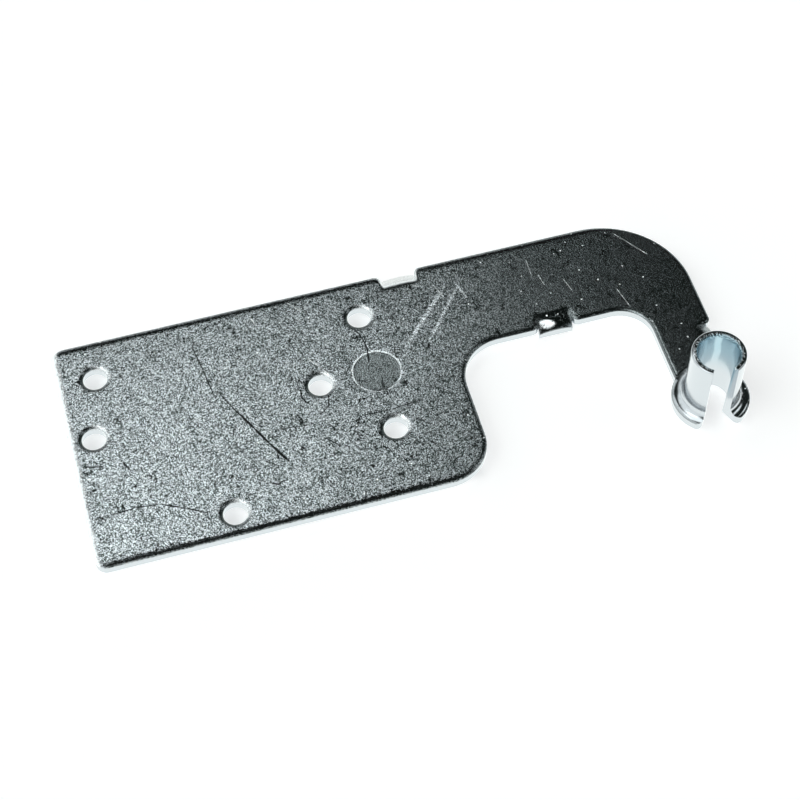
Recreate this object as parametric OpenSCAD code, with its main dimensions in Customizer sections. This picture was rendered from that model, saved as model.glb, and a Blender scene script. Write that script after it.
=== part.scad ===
// Upper door hinge of a refrigerator: one stamped sheet steel plate with an
// arm that turns down to a hollow pin, drawn up from the same sheet and open
// along one side. Three small lugs are pressed down out of the edges.
// X runs along the straight back edge, Y towards it, Z up along the pin.
// The origin is under the middle of the bounding box.

/* [Plate] */
// Thickness of the sheet
sheet_t = 2.5; // [2:0.1:3]
// Length of the wide body along the back edge
body_l = 99.5; // [96:0.5:104]
// Width of the body, from the back edge to its front edge
body_w = 66; // [62:0.5:72]
// Width of the arm that goes on from the body along the back edge
arm_w = 28; // [25:0.5:30]
// Clear width of the bay between the body and the turned-down leg
bay_w = 50.5; // [45:0.5:60]
// Width of the turned-down leg
leg_w = 15; // [13:0.5:16]

/* [Corners] */
// Radius of the corner at the left end of the back edge
back_left_r = 3.9; // [2:0.1:6]
// Radius of the corner at the left end of the front edge
front_left_r = 3; // [2:0.1:6]
// Radius of the big corner at the right end of the front edge
front_right_r = 11.6; // [8:0.1:14]
// Inner radius between the body and the arm
bay_left_r = 11.5; // [8:0.1:14]
// Inner radius between the arm and the leg
bay_right_r = 8.5; // [6:0.1:11]
// Outer radius where the arm turns down into the leg
elbow_r = 23.3; // [18:0.1:26]

/* [Rolled edges] */
// How far in from an edge the punched sheet starts to roll over
roll_w = 1; // [0.6:0.1:1.2]
// Drop of the top face at the edge
roll_h = 0.5; // [0.3:0.05:0.7]
// Distance from the two inner corners beside the pin at which the roll ends
roll_gap = 0.3; // [0.2:0.1:0.6]

/* [Screw holes] */
// Diameter of the six screw holes
hole_d = 6; // [5:0.1:6.5]
// Row next to the back edge: distance of its two holes from that edge
row_back = 11.5; // [10:0.1:13]
// Row through the middle: distance of its two holes from the back edge
row_mid = 29.2; // [27:0.1:32]
// Left hole of the back row, from the left end
back_row_x = 9.9; // [9:0.1:12]
// Left hole of the middle row, from the left end
mid_row_x = 6.3; // [6:0.1:9]
// Column of the right holes, from the right edge of the body
column_in = 20.7; // [18:0.1:23]
// Right hole of the middle row, from that column
mid_row_in = 14.8; // [12:0.1:18]
// Front hole of the column, from the back hole of the column
column_pitch = 35.3; // [33:0.1:37]
// Single hole near the front edge, from the left end
front_hole_x = 35.1; // [30:0.1:40]
// Single hole near the front edge, from that edge
front_hole_in = 6.2; // [6:0.1:10]

/* [Pin] */
// Outer diameter of the hollow pin
pin_d = 13.6; // [12.4:0.1:14.4]
// Wall of the pin at its free rim, thinned by drawing
rim_wall = 1.6; // [1.2:0.1:1.8]
// Wall of the pin at its root, nearly as thick as the sheet
root_wall = 2.4; // [1.9:0.1:2.6]
// Height of the pin above the top face
pin_h = 17.8; // [12:0.1:24]
// Pin axis from the outer edge of the leg
pin_in = 8.2; // [7:0.1:9]
// Pin axis behind the line of the body's front edge
pin_back = 6.6; // [4:0.1:9]
// Width of sheet left around the pin
flange_w = 3; // [2.8:0.1:4]
// Radius at the root of the pin
root_r = 1.9; // [1.2:0.1:1.9]
// Rounding of the pin's free rim
rim_r = 0.5; // [0.3:0.05:0.6]
// Rounding of the hollow where it leaves the underside
mouth_r = 0.3; // [0.2:0.1:0.8]
// First side of the open slot, as a direction seen from above
slot_from = 236; // [228:1:240]
// Second side of the open slot
slot_to = 292; // [288:1:302]
// Rounded corners of the ring on both sides of the slot
foot_r = 1.5; // [1:0.1:1.8]

/* [Lugs] */
// Width of a lug
lug_w = 9; // [7:0.1:10]
// Length of a lug, from its root to the edge of the sheet
lug_l = 4.8; // [4.4:0.1:6]
// How far the edge of a lug is pressed down
lug_drop = 2.1; // [1.2:0.1:2.3]
// Slope of a lug in degrees
lug_slope = 32; // [28:1:40]
// Rounded corners of the sheet on both sides of a lug
lug_corner_r = 1.8; // [1.3:0.1:2]
// How far the sides of a lug sag below its middle at the edge
lug_crown = 0.7; // [0.2:0.1:1]
// Middle of the lug in the back edge, from the right edge of the body
lug_back_in = 7.6; // [4:0.1:12]
// Middle of the lug in the arm's front edge, from the middle of its straight run
lug_front_off = 0.6; // [-3:0.1:3]
// Middle of the lug in the leg's outer edge, from the ring round the pin
lug_leg_gap = 11.2; // [7:0.1:13]

/* [Witness mark] */
// Diameter of the shallow round mark on the top face
mark_d = 12.8; // [8:0.1:14]
// Depth of the mark
mark_depth = 0.12; // [0.08:0.01:0.2]
// Width of its sloping rim
mark_rim = 0.4; // [0.2:0.1:0.8]

/* [Hidden] */
$fn = 96;
over = 1;                       // how far a cutter reaches past the sheet
pin_r = pin_d / 2;
rim_bore_r = pin_r - rim_wall;    // radius of the hollow at the free rim
root_bore_r = pin_r - root_wall;  // and at the underside
leg_x = body_l + bay_w;           // inner edge of the leg
reach = leg_x + leg_w;            // outer edge of the leg
pin_x = reach - pin_in;
pin_y = body_w - pin_back;
flange_r = pin_r + flange_w;
total_l = max(reach, pin_x + flange_r);
total_w = max(body_w, pin_y - min([for (p = concat(foot(slot_from, -1), foot(slot_to, 1))) p[1]]));
underside_z = lug_drop;         // the lugs are the lowest points
top_z = underside_z + sheet_t;
pin_c = [pin_x, -pin_y];
// directions from the pin to the points where the leg's two edges meet the ring
neck_a_in = 180 - acos((pin_x - leg_x) / flange_r);
neck_a_out = acos((reach - pin_x) / flange_r);
gap_a = roll_gap / flange_r * 180 / PI;
neck_in_y = flange_r * sin(neck_a_in) - pin_y;
neck_out_y = flange_r * sin(neck_a_out) - pin_y;

column_x = body_l - column_in;
HOLES = [
    [back_row_x, row_back], [column_x, row_back],
    [mid_row_x, row_mid], [column_x - mid_row_in, row_mid],
    [column_x, row_back + column_pitch], [front_hole_x, body_w - front_hole_in],
];
lug_back_x = body_l - lug_back_in;
lug_front_x = (body_l + bay_left_r + leg_x - bay_right_r) / 2 + lug_front_off;
lug_leg_y = -neck_out_y - lug_leg_gap;

// A circular arc, as points, from angle a to angle b in n steps
function arc(c, r, a, b, n) =
    [for (i = [0:n]) c + r * [cos(a + (b - a) * i / n), sin(a + (b - a) * i / n)]];

// Rolled edge in section: [distance in from the edge, height], top face at 0
roll_r = (roll_w * roll_w + roll_h * roll_h) / (2 * roll_h);
roll_a = asin(roll_w / roll_r);
function roll_curve(n = 4) = arc([roll_w, -roll_r], roll_r, 90, 90 + roll_a, n);
// What the roll takes away, past the edge and above the top face
function roll_cut() = concat(roll_curve(), [[-over, -roll_h], [-over, over], [roll_w, over]]);

// Takes the roll off a straight edge; the sheet is on its left going from a to b
module roll_line(a, b) {
    translate([a[0], a[1], 0])
        rotate([90, 0, 90 + atan2(b[1] - a[1], b[0] - a[0])])
            linear_extrude(norm(b - a)) polygon(roll_cut());
}

// Takes the roll off a rounded edge from angle a to angle b; side is 1 where
// the sheet is inside the circle and -1 where it is outside
module roll_arc(c, r, a, b, side = 1) {
    translate([c[0], c[1], 0]) rotate([0, 0, a])
        rotate_extrude(angle = b - a)
            polygon([for (p = roll_cut()) [max(0, r - side * p[0]), p[1]]]);
}

// Rounded hole rim, with the bore under it
module hole(c) {
    translate([c[0], -c[1], -sheet_t - over]) cylinder(d = hole_d, h = sheet_t + 2 * over);
    translate([c[0], -c[1], 0])
        rotate_extrude()
            polygon(concat([for (p = roll_curve()) [hole_d / 2 + p[0], p[1]]],
                           [[0, -roll_h], [0, over], [hole_d / 2 + roll_w, over]]));
}

// Square corner block of size r at c, less the circle about m: what a rounded
// outer corner loses, or what an inner corner gains
module corner(c, m, r, pad = 0) {
    lo = [min(c[0], m[0]) - (c[0] < m[0] ? pad : 0), min(c[1], m[1]) - (c[1] < m[1] ? pad : 0)];
    hi = [max(c[0], m[0]) + (c[0] > m[0] ? pad : 0), max(c[1], m[1]) + (c[1] > m[1] ? pad : 0)];
    difference() {
        translate([lo[0], lo[1], -sheet_t - pad])
            cube([hi[0] - lo[0], hi[1] - lo[1], sheet_t + 2 * pad]);
        translate([m[0], m[1], -sheet_t - 2 * over]) cylinder(r = r, h = sheet_t + 4 * over);
    }
}

// Places a lug: x runs along the edge, y out of the sheet, middle at the origin
module at_lugs() {
    translate([lug_back_x, 0, 0]) children();
    translate([lug_front_x, -arm_w, 0]) rotate([0, 0, 180]) children();
    translate([reach, -lug_leg_y, 0]) rotate([0, 0, -90]) children();
}

// A lug in section from its root to the edge: [distance out, height of its top]
bend_r = (lug_l * sin(lug_slope) - lug_drop * cos(lug_slope)) / (1 - cos(lug_slope));
lug_line = concat(
    [[-lug_l - over, 0]],       // the lug grows out of the sheet behind its root
    arc([-lug_l, -bend_r], bend_r, 90, 90 - lug_slope, 5),
    [[-roll_w, -lug_drop + roll_w * tan(lug_slope)],
     [-0.4 * roll_w, -lug_drop + 0.4 * roll_w * tan(lug_slope) - 0.2 * roll_h],
     [0, -lug_drop - roll_h]]);
lug_n = len(lug_line);
// Its underside is the same line without the rolled edge, one sheet lower
function lug_under(j) = j < lug_n - 2 ? lug_line[j][1] - sheet_t
    : -lug_drop - lug_line[j][0] * tan(lug_slope) - sheet_t;

// The lug: top and underside as one grid of points, crowned across its width
module lug() {
    n = 12;
    top = [for (i = [0:n]) let (t = 2 * i / n - 1) for (p = lug_line)
        [t * lug_w / 2, p[0], p[1] - lug_crown * pow(abs(t), 2.5) * max(0, 1 + p[0] / lug_l)]];
    under = [for (i = [0:n]) for (j = [0:lug_n - 1])
        [(2 * i / n - 1) * lug_w / 2, lug_line[j][0], lug_under(j)]];
    m = (n + 1) * lug_n;
    function at(i, j) = i * lug_n + j;
    polyhedron(concat(top, under), concat(
        [for (i = [0:n - 1]) for (j = [0:lug_n - 2]) [at(i, j), at(i, j + 1), at(i + 1, j + 1)]],
        [for (i = [0:n - 1]) for (j = [0:lug_n - 2]) [at(i, j), at(i + 1, j + 1), at(i + 1, j)]],
        [for (i = [0:n - 1]) for (j = [0:lug_n - 2])
            [m + at(i, j), m + at(i + 1, j), m + at(i + 1, j + 1), m + at(i, j + 1)]],
        [for (i = [0:n - 1]) [at(i, 0), at(i + 1, 0), m + at(i + 1, 0), m + at(i, 0)]],
        [for (i = [0:n - 1]) let (e = lug_n - 1) [at(i + 1, e), at(i, e), m + at(i, e), m + at(i + 1, e)]],
        [for (j = [0:lug_n - 2]) [at(0, j + 1), at(0, j), m + at(0, j), m + at(0, j + 1)]],
        [for (j = [0:lug_n - 2]) [at(n, j), at(n, j + 1), m + at(n, j + 1), m + at(n, j)]]));
}

// What the sheet loses at a lug: its space, and the rounded corners beside it
module lug_space() {
    translate([-lug_w / 2, -lug_l, -sheet_t - over]) cube([lug_w, lug_l + over, sheet_t + 2 * over]);
    for (s = [-1, 1]) {
        e = s * lug_w / 2;
        m = [e + s * lug_corner_r, -lug_corner_r];
        corner([e, 0], m, lug_corner_r, 0.2);
        // the roll runs on along the slit and fades out at the lug's root
        fade = [for (p = roll_cut()) [e + s * p[0], -lug_corner_r, p[1]]];
        n = len(fade);
        polyhedron(concat(fade, [[e, -lug_l, 0]]),
            concat([s > 0 ? [for (i = [0:n - 1]) n - 1 - i] : [for (i = [0:n - 1]) i]],
                   [for (i = [0:n - 1]) s > 0 ? [i, (i + 1) % n, n] : [(i + 1) % n, i, n]]));
    }
    roll_arc([lug_w / 2 + lug_corner_r, -lug_corner_r], lug_corner_r, 90, 180);
    roll_arc([-lug_w / 2 - lug_corner_r, -lug_corner_r], lug_corner_r, 0, 90);
}

// The flat sheet with square corners
module square_outline() {
    polygon([[0, 0], [reach, 0], [reach, neck_out_y], pin_c, [leg_x, neck_in_y],
             [leg_x, -arm_w], [body_l, -arm_w], [body_l, -body_w], [0, -body_w]]);
}

elbow_m = [reach - elbow_r, -elbow_r];
bay_right_m = [leg_x - bay_right_r, -arm_w - bay_right_r];
bay_left_m = [body_l + bay_left_r, -arm_w - bay_left_r];
front_right_m = [body_l - front_right_r, -body_w + front_right_r];
front_left_m = [front_left_r, -body_w + front_left_r];
back_left_m = [back_left_r, -back_left_r];
lug_half = lug_w / 2 + lug_corner_r;

// Rolled top edges, going round the outline with the sheet on the left
module rolled_edges() {
    roll_line([reach - elbow_r, 0], [lug_back_x + lug_half, 0]);
    roll_line([lug_back_x - lug_half, 0], [back_left_r, 0]);
    roll_arc(back_left_m, back_left_r, 90, 180);
    roll_line([0, -back_left_r], [0, -body_w + front_left_r]);
    roll_arc(front_left_m, front_left_r, 180, 270);
    roll_line([front_left_r, -body_w], [body_l - front_right_r, -body_w]);
    roll_arc(front_right_m, front_right_r, 270, 360);
    roll_line([body_l, -body_w + front_right_r], [body_l, -arm_w - bay_left_r]);
    roll_arc(bay_left_m, bay_left_r, 90, 180, -1);
    roll_line([body_l + bay_left_r, -arm_w], [lug_front_x - lug_half, -arm_w]);
    roll_line([lug_front_x + lug_half, -arm_w], [leg_x - bay_right_r, -arm_w]);
    roll_arc(bay_right_m, bay_right_r, 0, 90, -1);
    roll_line([leg_x, -arm_w - bay_right_r], [leg_x, neck_in_y + roll_gap]);
    roll_arc(pin_c, flange_r, neck_a_in + gap_a, 360 + neck_a_out - gap_a);
    roll_line([reach, neck_out_y + roll_gap], [reach, -lug_leg_y - lug_half]);
    roll_line([reach, -lug_leg_y + lug_half], [reach, -elbow_r]);
    roll_arc(elbow_m, elbow_r, 0, 90);
}

// The hollow pin in section, with its root and the ring of sheet around it
module pin_section() {
    polygon(concat(
        [[root_bore_r + mouth_r, -sheet_t], [pin_r + 0.6 * root_r, -sheet_t],
         [pin_r + root_r, -0.5 * sheet_t]],
        arc([pin_r + root_r, root_r], root_r, 270, 180, 6),
        arc([pin_r - rim_r, pin_h - rim_r], rim_r, 0, 90, 4),
        arc([rim_bore_r + rim_r, pin_h - rim_r], rim_r, 90, 180, 4),
        [[root_bore_r, -sheet_t + mouth_r]]));
}

// Rounded corner of the ring on one side s of the slot, from the slot outwards;
// m is 1 where the ring goes on at larger angles and -1 at smaller ones
function foot(s, m) = let (
        d = flange_r - foot_r, turn = asin(foot_r / d), last = s + m * (turn - 14),
        line = arc(d * [cos(s + m * turn), sin(s + m * turn)], foot_r, s - m * 90, last, 6))
    concat(line, [line[6] + 3 * [cos(last + m * 90), sin(last + m * 90)]]);

// The wedge that opens the pin and its ring along one side
module slot() {
    far = 3 * flange_r;
    mid = (slot_from + slot_to) / 2;
    right = foot(slot_to, 1);
    translate([0, 0, -sheet_t - over]) linear_extrude(sheet_t + pin_h + 2 * over)
        polygon(concat([[0, 0]], foot(slot_from, -1),
                       [far * [cos(slot_from), sin(slot_from)], 2 * far * [cos(mid), sin(mid)],
                        far * [cos(slot_to), sin(slot_to)]],
                       [for (i = [len(right) - 1:-1:0]) right[i]]));
}

// Shallow round mark left by a tool
module witness_mark() {
    rotate_extrude() polygon([[0, -mark_depth], [mark_d / 2 - mark_rim, -mark_depth],
                              [mark_d / 2, 0], [mark_d / 2, over], [0, over]]);
}

module hinge_plate() {
    color([0.55, 0.57, 0.57])
    translate([-total_l / 2, total_w / 2, top_z])
    difference() {
        union() {
            difference() {
                union() {
                    translate([0, 0, -sheet_t]) linear_extrude(sheet_t) square_outline();
                    translate([pin_x, -pin_y, -sheet_t]) cylinder(r = flange_r, h = sheet_t);
                    corner([body_l, -arm_w], bay_left_m, bay_left_r);
                    corner([leg_x, -arm_w], bay_right_m, bay_right_r);
                }
                corner([0, 0], back_left_m, back_left_r, over);
                corner([0, -body_w], front_left_m, front_left_r, over);
                corner([body_l, -body_w], front_right_m, front_right_r, over);
                corner([reach, 0], elbow_m, elbow_r, over);
                rolled_edges();
                at_lugs() lug_space();
                translate([pin_x, -pin_y, -sheet_t - over])
                    cylinder(r = pin_r + 0.5, h = sheet_t + 2 * over);
                translate([column_x, -row_mid, 0]) witness_mark();
                for (c = HOLES) hole(c);
            }
            at_lugs() lug();
            translate([pin_x, -pin_y, 0]) rotate_extrude() pin_section();
        }
        translate([pin_x, -pin_y, 0]) slot();
    }
}

hinge_plate();
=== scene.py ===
import math
from types import SimpleNamespace
import bmesh
import bpy
from mathutils import Matrix, Vector


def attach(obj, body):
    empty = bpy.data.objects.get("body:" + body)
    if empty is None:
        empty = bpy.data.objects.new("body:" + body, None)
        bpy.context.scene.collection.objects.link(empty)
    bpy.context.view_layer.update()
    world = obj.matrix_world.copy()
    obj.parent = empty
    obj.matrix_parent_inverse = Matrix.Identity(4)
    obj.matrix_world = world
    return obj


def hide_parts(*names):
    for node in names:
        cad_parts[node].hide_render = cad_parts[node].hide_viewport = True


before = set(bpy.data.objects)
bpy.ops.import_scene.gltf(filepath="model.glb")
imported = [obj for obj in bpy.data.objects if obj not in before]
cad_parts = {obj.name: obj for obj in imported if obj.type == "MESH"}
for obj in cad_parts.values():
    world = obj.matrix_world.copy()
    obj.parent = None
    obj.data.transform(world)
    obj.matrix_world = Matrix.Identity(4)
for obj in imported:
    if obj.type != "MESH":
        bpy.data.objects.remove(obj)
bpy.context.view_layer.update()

# ---------------------------------------------------------------- places
# Sizes are millimetres on the sheet: x from its left end, y back from its
# straight back edge, so that the sheet lies where y is below 0, and z up from
# its top face.
MM = 0.001
LEFT_END, BACK_EDGE, TOP_FACE = -83.3, 33.9517, 4.6     # in the frame of the part
BODY_L, BODY_W = 99.0, 66.0     # the plain part of the body, before the arm
ARM, ELBOW = 93.3, 138.3        # where the arm and the elbow begin
BACK_LUG = 91.9                 # middle of the lug in the back edge
HOLES = [(9.9, -11.5), (78.8, -11.5), (6.3, -29.2), (64.0, -29.2), (78.8, -46.8), (35.1, -59.8)]
HOLE_R = 3.0
TOOL_MARK, MARK_R = (78.8, -29.2), 6.2
PIN, PIN_R, PIN_H = (156.8, -59.4), 6.8, 17.8
FOOT_R = 10.4                   # ring of sheet round the pin


def on_sheet(x, y, z=0.0):
    """A point of the sheet, in metres, in the frame of the part."""
    return Vector(((x + LEFT_END) * MM, (y + BACK_EDGE) * MM, (z + TOP_FACE) * MM))


# ---------------------------------------------------------------- the hinge
SHARP = math.radians(28)        # the rolls bend less than this, the sheared rims more


def mesh_object(name, bm):
    """An object in the scene with the shape of a bmesh, which is used up."""
    mesh = bpy.data.meshes.new(name)
    bm.to_mesh(mesh)
    bm.free()
    obj = bpy.data.objects.new(name, mesh)
    bpy.context.scene.collection.objects.link(obj)
    return obj


def hinge():
    """The sheet with its edges smoothed over the roll and sharp at the shear."""
    bm = bmesh.new()
    bm.from_mesh(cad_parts["hinge_plate"].data)
    bmesh.ops.remove_doubles(bm, verts=bm.verts, dist=0.001 * MM)
    bmesh.ops.dissolve_degenerate(bm, dist=0.001 * MM, edges=bm.edges)
    for face in bm.faces:
        face.smooth = True
    for edge in bm.edges:
        edge.smooth = len(edge.link_faces) == 2 and edge.calc_face_angle(0) < SHARP
    sheet = mesh_object("hinge_sheet", bm)
    weighted = sheet.modifiers.new("flat faces keep their normals", "WEIGHTED_NORMAL")
    weighted.keep_sharp = True
    weighted.mode = "FACE_AREA"
    weighted.weight = 100
    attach(sheet, "root")
    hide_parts("hinge_plate")
    return sheet


# ---------------------------------------------------------------- nodes
TIMES, PLUS, MINUS = ({"operation": name} for name in ("MULTIPLY", "ADD", "SUBTRACT"))
HIGHER, LOWER = ({"operation": name} for name in ("MAXIMUM", "MINIMUM"))
TIMES_PLUS = {"operation": "MULTIPLY_ADD"}      # the first times the second, plus the third
LENGTH = {"out": "Value", "operation": "LENGTH"}


def hex_to_linear(text):
    """An sRGB hex colour as linear red, green, blue and alpha."""
    out = []
    for i in (1, 3, 5):
        c = int(text[i:i + 2], 16) / 255
        out.append(c / 12.92 if c <= 0.04045 else ((c + 0.055) / 1.055) ** 2.4)
    return (*out, 1.0)


def bare_tree(owner):
    """The emptied node tree of a material or a world."""
    owner.use_nodes = True
    owner.node_tree.nodes.clear()
    return owner.node_tree


def add(tree, kind, inputs=(), out=0, **settings):
    """Add a node and give one of its outputs. The settings go on the node, and
    each input, in order or by name, is a socket to link or a constant."""
    node = tree.nodes.new("ShaderNode" + kind)
    for name, value in settings.items():
        setattr(node, name, value)
    for key, value in inputs.items() if isinstance(inputs, dict) else enumerate(inputs):
        if isinstance(value, bpy.types.NodeSocket):
            tree.links.new(value, node.inputs[key])
        else:
            node.inputs[key].default_value = value
    return node.outputs[out] if node.outputs else node


def within(tree, *bounds):
    """1 inside a region and 0 outside it. Each bound is a value, where it starts
    to count and where it counts in full, and it is soft between the two."""
    share = 1.0
    for value, starts, full in bounds:
        step = add(tree, "MapRange", (value, starts, full), interpolation_type="SMOOTHSTEP")
        share = add(tree, "Math", (share, step), **TIMES)
    return share


def spot_on_sheet(tree, where):
    """A place in the frame of the part as millimetres on the sheet."""
    spot = add(tree, "VectorMath", (where, on_sheet(0, 0)), **MINUS)
    return add(tree, "VectorMath", (spot, (1 / MM, 1 / MM, 1 / MM)), **TIMES)


def away_from(tree, spot, centre):
    """The level vector to a spot from the upright line through a centre."""
    away = add(tree, "VectorMath", (spot, (*centre, 0)), **MINUS)
    return add(tree, "VectorMath", (away, (1, 1, 0)), **TIMES)


# ---------------------------------------------------------------- scratches
# On the top face: width, then points on the sheet, as in the picture.
DARK_SCRATCHES_AND_SHADE = [
    (0.20, [(35.6, -8.8), (36.7, -16.6), (37.8, -25.8)]),
    (0.24, [(39.1, -24.6), (41.2, -29.6), (43.5, -34.3)]),
    (0.38, [(42.6, -32.3), (45.2, -37.6), (47.6, -42.6), (51.2, -49.5)]),
    (0.24, [(48.3, -54.3), (46.9, -54.8), (45.6, -54.1)]),
    (0.20, [(71.6, -41.3), (79.3, -41.4), (86.8, -40.8)]),
    (0.22, [(6.5, -52.1), (12.2, -51.7), (18.2, -52.3), (23.8, -55.1), (28.6, -57.9)]),
    (0.24, [(76.1, -14.1), (77.4, -16.6), (78.1, -19.4), (78.2, -22.2), (77.7, -25.7)]),
    (0.20, [(79.6, -31.1), (78.8, -35.0)]),
    (0.20, [(62.0, -37.9), (64.4, -36.2), (65.2, -33.5)]),
    (0.20, [(67.5, -44.2), (70.1, -43.3), (71.1, -41.5)]),
    (0.26, [(58.9, -29.8), (58.6, -31.6), (59.3, -33.4)]),
    (0.20, [(49.9, -39.3), (56.1, -39.9)]),
    (0.24, [(61.2, -45.1), (64.2, -48.1)]),
    (0.24, [(2.0, -36.6), (7.2, -38.1)]),
    (0.90, [(153.6, -67.0), (154.3, -69.0)]),       # painted shade: the dark patch beside the pin's slot
]
WHITE_SCRATCHES_AND_HIGHLIGHT = [
    (0.14, [(150.6, -4.2), (153.4, -8.2), (156.7, -13.0)]),
    (0.20, [(100.0, -7.0), (101.5, -11.2)]),
    (0.22, [(63.0, -20.7), (65.3, -24.0), (67.1, -27.1)]),
    (0.18, [(61.8, -1.5), (63.6, -3.7), (65.4, -6.3)]),
    (0.22, [(94.8, -5.5), (95.9, -6.1)]),
    (0.20, [(52.0, -3.7), (52.6, -6.5)]),
    (0.14, [(133.1, -15.0), (133.9, -18.3)]),
    (0.12, [(125.6, -6.3), (125.5, -10.7)]),
    (0.12, [(127.3, -12.0), (127.7, -14.8)]),
    (0.12, [(145.3, -21.7), (146.6, -27.5)]),
    (1.40, [(122.3, -26.2), (127.2, -27.0)]),       # painted highlight: the shine on the front lug
]
FAINT_SCRATCHES = [
    (0.55, [(109.4, -5.0), (91.0, -27.8)]),
    (0.75, [(105.4, -5.3), (86.2, -25.9)]),
    (0.40, [(105.6, -7.3), (107.6, -14.8)]),
]
RUN_OUT = 0.8       # a scratch thins out this far past its last point
REACH_DOWN = 6.0    # and is drawn this far up and down, on to the bent lugs


def scratches(tree, spot, lines):
    """1 along the given lines, 0 away from them; each piece is a long thin lens."""
    nearest = 9.0       # in widths: farther than any lens counts
    for width, line in lines:
        for (x0, y0), (x1, y1) in zip(line, line[1:]):
            half = math.hypot(x1 - x0, y1 - y0) / 2
            lens = add(tree, "Mapping", {
                "Vector": spot,
                "Location": ((x0 + x1) / 2, (y0 + y1) / 2, 0),
                "Rotation": (0, 0, math.atan2(y1 - y0, x1 - x0)),
                "Scale": (half + RUN_OUT, width, REACH_DOWN)}, vector_type="TEXTURE")
            far = add(tree, "VectorMath", (lens,), **LENGTH)
            nearest = add(tree, "Math", (nearest, far), **LOWER)
    return within(tree, (nearest, 1.0, 0.45))


# ---------------------------------------------------------------- zinc plate
# Noises: how many marks go to a millimetre, detail, roughness. The real grit is
# finer than a picture of the whole part can show, so the grain is drawn 0.26 mm.
GRAIN, COARSE_GRAIN, CLOUD = (3.8, 1.5, 0.60), (0.7, 2.0, 0.50), (0.11, 3.0, 0.55)
HAIR = ((0.231, 0.230, 0.010), (0.407, 0.380, 0.012))   # marks and gaps to a mm, thinness
GLINT_CELLS = 0.42           # cells to a mm; about a third of them hold a painted glint of 0.4 mm
RIM_WAVES = 1.1         # to a mm, inside the rim of the pin
RAGGED = 3.0            # mm for the full swing of the grain, on the rolled edges
SOFT_ROLL = 1.3         # mm over which the punch rounds the sheet at its edges
GRAIN_HEIGHT = 0.03     # mm

# How far each mark tips the surface, against the length of its normal
TIP_DARK, TIP_WHITE, TIP_HOLE = 0.5, 0.62, 0.42
TIP_LEFT, TIP_FRONT, TIP_BACK, TIP_LUG = 0.5, 0.45, 0.13, 0.5
TIP_FOOT_RIGHT, TIP_FOOT_LEFT = 0.08, 0.43


def plate_places(tree):
    """Where a point of the hinge lies, in mm, and how much of it is flat top
    face or flare at the foot of the pin."""
    at = SimpleNamespace(where=add(tree, "TexCoord", out="Object"))
    at.spot = spot_on_sheet(tree, at.where)
    at.x, at.y, at.z = (add(tree, "SeparateXYZ", (at.spot,), out=axis) for axis in "XYZ")
    at.off_pin = away_from(tree, at.spot, PIN)
    at.from_pin = add(tree, "VectorMath", (at.off_pin,), **LENGTH)
    at.from_mark = add(tree, "VectorMath", (away_from(tree, at.spot, TOOL_MARK),), **LENGTH)
    normal = add(tree, "NewGeometry", out="True Normal")
    level = (add(tree, "SeparateXYZ", (normal,), out="Z"), 0.3, 0.7)
    at.face = within(tree, level, (at.from_pin, FOOT_R - 1.8, FOOT_R))
    at.flare = within(tree, level, (at.from_pin, FOOT_R, FOOT_R - 1.0), (at.z, 3, 1))
    return at


def plate_grain(tree, at):
    """The grain of the rolled sheet, a coarser one under it, and the slow cloud
    by which its polish changes."""
    at.grain, at.coarse, at.cloud = (
        add(tree, "TexNoise", {"Vector": at.where, "Scale": marks / MM, "Detail": detail, "Roughness": roughness})
        for marks, detail, roughness in (GRAIN, COARSE_GRAIN, CLOUD))


def hair_marks(tree, where):
    """Short curled marks: pieces of the contour lines of a soft noise."""
    hair = 0.0
    for marks, gaps, thin in HAIR:
        hills = add(tree, "TexNoise", {"Vector": where, "Scale": marks / MM, "Detail": 2.0, "Distortion": 0.7})
        line = add(tree, "Math", (hills, 0.5), **MINUS)
        line = add(tree, "Math", (line,), operation="ABSOLUTE")
        gap = add(tree, "TexNoise", {"Vector": where, "Scale": gaps / MM, "Detail": 1.0})
        part = within(tree, (line, thin, 0.3 * thin), (gap, 0.45, 0.52))
        hair = add(tree, "Math", (hair, part), **HIGHER)
    return hair


def painted_glints(tree, where):
    """Sparse painted glints on the grain, in some of the cells of a Voronoi pattern."""
    cell = {"Vector": where, "Scale": GLINT_CELLS / MM}
    return within(tree, (add(tree, "TexVoronoi", cell, out="Distance"), 0.12, 0.05),
                  (add(tree, "TexVoronoi", cell, out="Color"), 0.60, 0.75))


def mark_rim(tree, from_mark, cloud):
    """The tool mark's burnished rim, stronger and weaker along its way."""
    off_rim = add(tree, "Math", (from_mark, MARK_R), **MINUS)
    off_rim = add(tree, "Math", (off_rim,), operation="ABSOLUTE")
    rim = add(tree, "Math", (within(tree, (off_rim, 0.32, 0.1)), cloud), **TIMES)
    return add(tree, "Math", (rim, 0.45), **TIMES)


def plate_marks(tree, at):
    """Dark marks mirror the dark side of the room, white and faint ones its white
    side; the white ones are also painted near white, a painted highlight. The dark
    list holds a painted shade beside the pin's slot, the white list a painted
    highlight on the front lug, and the glints are painted too."""
    hair = add(tree, "Math", (hair_marks(tree, at.where), 0.5), **TIMES)
    at.dark = add(tree, "Math", (scratches(tree, at.spot, DARK_SCRATCHES_AND_SHADE), hair), **HIGHER)
    at.faint = add(tree, "Math", (scratches(tree, at.spot, FAINT_SCRATCHES), 0.1), **TIMES)
    at.white = add(tree, "Math", (scratches(tree, at.spot, WHITE_SCRATCHES_AND_HIGHLIGHT), 0.8), **TIMES)
    for more in (painted_glints(tree, at.where), at.faint, mark_rim(tree, at.from_mark, at.cloud)):
        at.white = add(tree, "Math", (at.white, more), **HIGHER)


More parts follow.
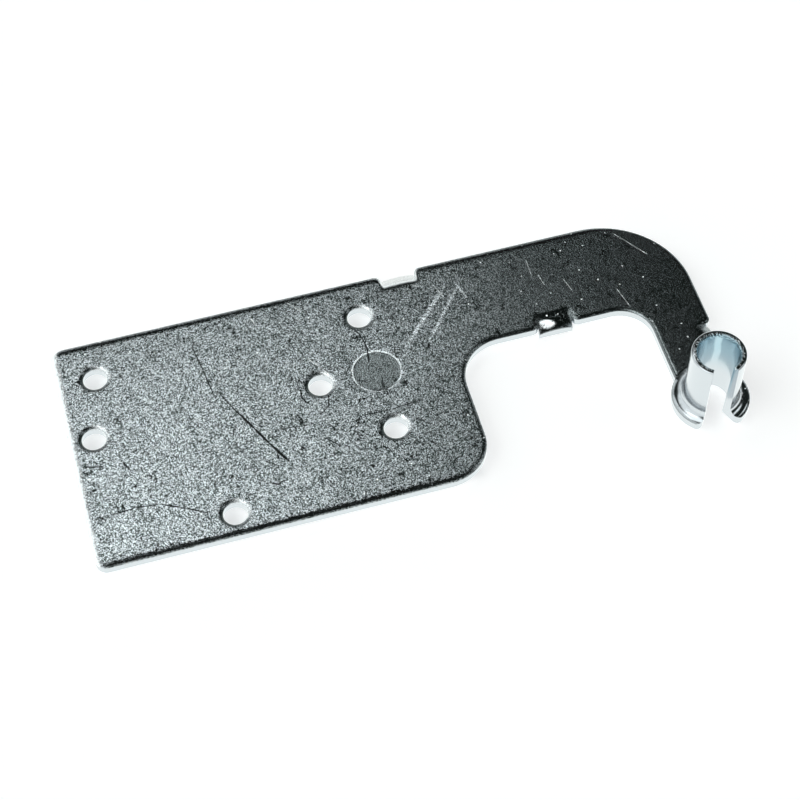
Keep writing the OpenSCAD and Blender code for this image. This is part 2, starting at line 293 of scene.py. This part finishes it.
def rolled_edges(tree, at, ragged):
    """The sheared edges are rolled down: white along the left end, which faces
    the white wall and gets a painted highlight, dark along the front and the back.
    The lug in the back edge is drawn smooth and bends down into the light, with a
    painted highlight on it."""
    out_of_square = add(tree, "Math", (at.y, -0.011, at.x), **TIMES_PLUS)
    at.left = within(tree, (add(tree, "Math", (out_of_square, ragged), **PLUS), 2.12, 1.32))
    at.front = within(tree, (add(tree, "Math", (at.y, ragged), **PLUS), 1.7 - BODY_W, 0.7 - BODY_W))
    at.back = within(tree, (at.y, -2.6, -0.9))
    off_lug = add(tree, "Math", (at.x, BACK_LUG), **MINUS)
    off_lug = add(tree, "Math", (off_lug,), operation="ABSOLUTE")
    at.lug = within(tree, (off_lug, 5.6, 4.2), (at.y, -5.8, -2.4))


def rolled_holes(tree, at, ragged):
    """The punched holes are rolled in, by a push toward the middle of each:
    white on the right of a hole, where a painted highlight is added, dark on its
    left, where painted shade is added."""
    at.into_holes = (0, 0, 0)
    for hole in HOLES:
        away = away_from(tree, at.spot, hole)
        far = add(tree, "Math", (add(tree, "VectorMath", (away,), **LENGTH), ragged), **PLUS)
        push = add(tree, "Math", (within(tree, (far, HOLE_R + 1.0, HOLE_R + 0.4)), -TIP_HOLE), **TIMES)
        away = add(tree, "VectorMath", (away,), operation="NORMALIZE")
        away = add(tree, "VectorMath", {0: away, "Scale": push}, operation="SCALE")
        at.into_holes = add(tree, "VectorMath", (at.into_holes, away), **PLUS)
    at.hole_side = add(tree, "VectorMath", (at.into_holes, (1, 0.6, 0)), out="Value", operation="DOT_PRODUCT")


def plate_rolls(tree, at):
    """The rolls of the edges and the holes, and where they leave the metal drawn
    smooth and with a painted highlight: the left end, the back lug and the right
    sides of the holes."""
    ragged = add(tree, "Math", (add(tree, "Math", (at.grain, 0.5), **MINUS), RAGGED), **TIMES)
    rolled_edges(tree, at, ragged)
    rolled_holes(tree, at, ragged)
    # painted highlight: near white on the left end, the back lug and the right sides of the holes; the same mask
    # smooths the grain there
    at.drawn = add(tree, "Math", (at.left, at.lug), **HIGHER)
    at.drawn = add(tree, "Math", (at.drawn, within(tree, (at.hole_side, -0.05, -0.25))), **HIGHER)


def plate_tone(tree, at, bright):
    """How pale the metal is: pale grains on dark on the top face, less pale
    inside the tool mark and under the dark marks, among them the painted shade
    beside the slot, raised under the painted highlights, and even and pale elsewhere."""
    tone = add(tree, "MapRange", (at.grain, 0.46, 0.54))
    inside_mark = within(tree, (at.from_mark, MARK_R + 0.1, MARK_R - 0.5))
    for mark, loss in ((inside_mark, 0.33), (at.dark, 0.6)):
        kept = add(tree, "Math", (mark, -loss, 1.0), **TIMES_PLUS)
        tone = add(tree, "Math", (tone, kept), **TIMES)
    # the arm and the leg are darker and evener than the body
    arm_share = add(tree, "Math", (within(tree, (at.x, ARM, ARM + 40)), 0.72), **TIMES)
    tone = add(tree, "Mix", {0: arm_share, 2: tone, 3: 0.25}, data_type="FLOAT")
    tone = add(tree, "Math", (tone, bright), **HIGHER)
    tone = add(tree, "Math", (tone, add(tree, "Math", (at.faint, 2.6), **TIMES)), **HIGHER)
    # the very edge of the left end and the left sides of the holes are in shade
    end_shade = add(tree, "Math", (0.25, within(tree, (at.x, 0.05, 0.5))), **HIGHER)
    for shade in (end_shade, within(tree, (at.hole_side, 0.2, 0.02))):
        tone = add(tree, "Math", (tone, shade), **TIMES)
    return add(tree, "Mix", {0: at.face, 2: 1.0, 3: tone}, data_type="FLOAT")


def plate_colour(tree, at):
    """Greenish grey in the hollows of the grain and silver on its heights. The
    white scratches and the tool mark's rim are burnished; with the glints, the rolled
    left end, the back lug and the right sides of the holes they are painted near
    white, a painted highlight; inside the pin the clear film on the zinc shows bluish."""
    # bright: real scratches and the tool mark's rim, together with painted highlights and glints
    bright = add(tree, "Math", (at.white, at.drawn), **HIGHER)
    tone = plate_tone(tree, at, bright)
    bright = add(tree, "Math", (bright, at.face), **TIMES)
    blue = within(tree, (at.from_pin, PIN_R - 0.8, PIN_R - 1.6), (at.z, 3, 14))
    blue = add(tree, "Math", (blue, 0.7), **TIMES)
    colour = hex_to_linear("#46514e")
    for share, paler in ((tone, "#cdd2d6"), (bright, "#fbfeff"), (blue, "#a4c9d6")):
        colour = add(tree, "Mix", {0: share, 6: colour, 7: hex_to_linear(paler)}, out=2, data_type="RGBA")
    return colour


def plate_bump(tree, at):
    """The grain stands on the flat faces and is nearly gone where the metal was
    drawn; the drawn rim of the pin is uneven inside; the edges are rolled soft."""
    relief = add(tree, "Math", (at.coarse, 0.6, at.grain), **TIMES_PLUS)
    undrawn = add(tree, "Math", (at.face, add(tree, "Math", (1.0, at.drawn), **MINUS)), **TIMES)
    relief = add(tree, "Math", (relief, add(tree, "Math", (undrawn, 0.95, 0.05), **TIMES_PLUS)), **TIMES)
    wavy = add(tree, "TexNoise", {"Vector": at.where, "Scale": RIM_WAVES / MM, "Detail": 2.0})
    wavy = add(tree, "Math", (wavy, 0.5), **MINUS)
    rim = within(tree, (at.z, PIN_H - 1.2, PIN_H - 0.5), (at.from_pin, PIN_R - 0.6, PIN_R - 1.2))
    wavy = add(tree, "Math", (wavy, rim), **TIMES)
    relief = add(tree, "Math", (wavy, 22.0, relief), **TIMES_PLUS)
    # the soft roll loses 0.6 of its width round the elbow and the leg
    narrowed = add(tree, "Math", (within(tree, (at.x, ELBOW, ELBOW + 10)), -0.6, 1.0), **TIMES_PLUS)
    roll = add(tree, "Math", (narrowed, SOFT_ROLL * MM), **TIMES)
    soft = add(tree, "Bevel", {"Radius": add(tree, "Math", (at.face, roll), **TIMES)}, samples=6)
    return add(tree, "Bump", {
        "Height": relief, "Strength": 1.0, "Distance": GRAIN_HEIGHT * MM, "Normal": soft})


def foot_flare(tree, at):
    """The sheet flares up into the pin all round its foot, most on the left."""
    outward = add(tree, "VectorMath", (at.off_pin,), operation="NORMALIZE")
    rightward = add(tree, "SeparateXYZ", (outward,), out="X")
    push = add(tree, "MapRange", (rightward, 0.3, -0.1, TIP_FOOT_RIGHT, TIP_FOOT_LEFT),
               interpolation_type="SMOOTHSTEP")
    push = add(tree, "Math", (at.flare, push), **TIMES)
    return add(tree, "VectorMath", {0: outward, "Scale": push}, operation="SCALE")


def plate_normal(tree, at):
    """The marks and the rolls tip the surface: dark marks to the right, white
    ones to the left, and the edges and the holes the way they are rolled."""
    rightward = backward = 0.0
    for mark, push in ((at.dark, TIP_DARK), (at.white, -TIP_WHITE), (at.left, -TIP_LEFT)):
        rightward = add(tree, "Math", (mark, push, rightward), **TIMES_PLUS)
    for mark, push in ((at.back, TIP_BACK), (at.front, -TIP_FRONT), (at.lug, TIP_LUG)):
        backward = add(tree, "Math", (mark, push, backward), **TIMES_PLUS)
    face_or_flare = add(tree, "Math", (at.face, at.flare), **HIGHER)
    normal = add(tree, "CombineXYZ", (
        add(tree, "Math", (rightward, face_or_flare), **TIMES),
        add(tree, "Math", (backward, at.face), **TIMES)))
    into_holes = add(tree, "VectorMath", {0: at.into_holes, "Scale": at.face}, operation="SCALE")
    for push in (foot_flare(tree, at), into_holes, plate_bump(tree, at)):
        normal = add(tree, "VectorMath", (normal, push), **PLUS)
    return add(tree, "VectorMath", (normal,), operation="NORMALIZE")


def zinc_plate():
    """Bright zinc on cold rolled steel: a clear, slightly greenish grey metal.
    The flat faces keep the fine grain of the rolled sheet, which glitters
    between the bright and the dark side of the room; the sheared and drawn
    parts are smooth."""
    mat = bpy.data.materials.new("bright zinc plated steel")
    tree = bare_tree(mat)
    at = plate_places(tree)
    plate_grain(tree, at)
    plate_marks(tree, at)
    plate_rolls(tree, at)
    metal = add(tree, "BsdfPrincipled", {
        "Base Color": plate_colour(tree, at), "Metallic": 1.0,
        "Roughness": add(tree, "MapRange", (at.cloud, 0, 1, 0.13, 0.2)),
        "Normal": plate_normal(tree, at)})
    add(tree, "OutputMaterial", (metal,))
    return mat


# ---------------------------------------------------------------- floor
TABLE = 3.0             # metres from its middle to its sides
TABLE_GLOW = 0.62       # what the table adds to its own white for the camera
SHADE = 0.27            # share of the glow lost under the body of the sheet


def floor_paint():
    """Matt white table: its own white for the camera, with the shadow kept."""
    mat = bpy.data.materials.new("matt white table")
    tree = bare_tree(mat)
    spot = spot_on_sheet(tree, add(tree, "TexCoord", out="Object"))
    x, y = (add(tree, "SeparateXYZ", (spot,), out=axis) for axis in "XY")
    # in the shade under the body of the sheet, seen through its holes, it is greyer
    under = within(tree, (x, 1, 4), (x, BODY_L - 1, BODY_L - 4), (y, 1 - BODY_W, 4 - BODY_W), (y, -1, -4))
    glow = add(tree, "Math", (under, -SHADE * TABLE_GLOW, TABLE_GLOW), **TIMES_PLUS)
    glow = add(tree, "Emission", {"Color": (1, 1, 1, 1), "Strength": glow})
    paint = add(tree, "BsdfDiffuse", {"Color": hex_to_linear("#f2f2f2")})
    # the metal mirrors an even white table
    mirrored = add(tree, "Emission", {"Color": (0.97, 1, 0.98, 1), "Strength": 1.25})
    # from below the table is clear, so that the underside of the part shows
    clear = add(tree, "BsdfTransparent")
    seen = paint
    for share, shader in (
            (add(tree, "LightPath", out="Is Camera Ray"), add(tree, "AddShader", (paint, glow))),
            (add(tree, "LightPath", out="Is Glossy Ray"), mirrored),
            (add(tree, "NewGeometry", out="Backfacing"), clear)):
        seen = add(tree, "MixShader", (share, seen, shader))
    add(tree, "OutputMaterial", (seen,))
    return mat


def table_top():
    """A wide flat table under the part."""
    bm = bmesh.new()
    bmesh.ops.create_grid(bm, x_segments=1, y_segments=1, size=TABLE)
    table = mesh_object("table_top", bm)
    table.data.materials.append(floor_paint())


# ---------------------------------------------------------------- light
# Direction, the angles from it where the lamp is full and where it ends, strength
LAMPS = (
    ((-0.45, -0.18, 0.87), 12, 28, 1.5),    # soft box overhead, a little left and in front
    ((0.74, -0.13, 0.66), 7, 14, 1.3),      # small lamp high on the right
)
SCREEN, WALL, SWEEP, DIM = 2.85, 1.08, 0.95, 0.016      # strengths


def room_light():
    """A white screen over the left half of the table, a white wall at the far
    left with low light in front of it, the table swept up behind, a soft box and
    a small lamp; the rest of the room is dark. Plain white to the camera."""
    world = bpy.data.worlds.new("studio")
    bpy.context.scene.world = world
    tree = bare_tree(world)
    toward = add(tree, "TexCoord", out="Generated")
    x, y, up = (add(tree, "SeparateXYZ", (toward,), out=axis) for axis in "XYZ")
    # a screen high on the left, seen in the left half of the sheet; its far
    # edge lies behind, so that the back edge of the sheet mirrors a dark wall,
    # and it leaves out the front, where the camera and its stand are
    slanted = add(tree, "Math", (x, -0.2, y), **TIMES_PLUS)
    screen = within(tree, (x, 0.25, 0.09), (x, -0.36, -0.16), (y, 0.627, 0.535), (slanted, 0.41, 0.52))
    # a white wall at the far left, and low light from the front left for the
    # foot of the pin
    wall = within(tree, (x, -0.50, -0.66), (y, -0.66, -0.5))
    low = within(tree, (up, 0.5, 0.3), (x, -0.2, -0.42), (y, -0.3, -0.55))
    wall = add(tree, "Math", (wall, low), **HIGHER)
    # the end of the white table, swept up low behind the part
    sweep = within(tree, (up, 0.42, 0.05), (y, 0.3, 0.6))
    around = add(tree, "Math", (
        add(tree, "Math", (wall, WALL), **TIMES),
        add(tree, "Math", (sweep, SWEEP), **TIMES)), **HIGHER)
    strength = add(tree, "Math", (screen, SCREEN, around), **TIMES_PLUS)
    for direction, full, ends, power in LAMPS:
        near = add(tree, "VectorMath", (toward, Vector(direction).normalized()),
                   out="Value", operation="DOT_PRODUCT")
        lamp = within(tree, (near, math.cos(math.radians(ends)), math.cos(math.radians(full))))
        strength = add(tree, "Math", (lamp, power, strength), **TIMES_PLUS)
    room = add(tree, "Background", {"Color": (0.96, 1, 1, 1), "Strength": strength})
    # the dark side of the room is a dim green
    dim = add(tree, "Background", {"Color": (0.72, 1, 0.88, 1), "Strength": DIM})
    room = add(tree, "AddShader", (room, dim))
    white = add(tree, "Background", {"Color": (1, 1, 1, 1), "Strength": 1.0})
    camera_ray = add(tree, "LightPath", out="Is Camera Ray")
    add(tree, "OutputWorld", (add(tree, "MixShader", (camera_ray, room, white)),))


# ---------------------------------------------------------------- camera
CAMERA_AT = (13.758, -303.143, 400.047)
AZIMUTH, ELEVATION, ROLL = 14.5005, 55.7432, -1.5068    # degrees
PICTURE, FOCAL = 800, 1941.4        # picture width and focal length, in pixels
FILM = 36                           # mm


def camera():
    """The camera that took the picture, worked out from the sheet's own edges."""
    az, el, roll = map(math.radians, (AZIMUTH, ELEVATION, ROLL))
    right = Vector((math.cos(az), -math.sin(az), 0))
    ahead = Vector((math.sin(az), math.cos(az), 0))
    look = ahead * math.cos(el) - Vector((0, 0, 1)) * math.sin(el)
    up = ahead * math.sin(el) + Vector((0, 0, 1)) * math.cos(el)
    side = right * math.cos(roll) + up * math.sin(roll)
    top = -right * math.sin(roll) + up * math.cos(roll)
    data = bpy.data.cameras.new("camera")
    data.sensor_width = FILM
    data.lens = FILM * FOCAL / PICTURE
    data.clip_start, data.clip_end = 0.01, 20
    obj = bpy.data.objects.new("camera", data)
    bpy.context.scene.collection.objects.link(obj)
    turn = Matrix((side, top, -look)).transposed().to_4x4()
    obj.matrix_world = Matrix.Translation(on_sheet(*CAMERA_AT)) @ turn
    bpy.context.scene.camera = obj


hinge().data.materials.append(zinc_plate())
table_top()
room_light()
camera()
bpy.context.scene.view_settings.view_transform = "Standard"
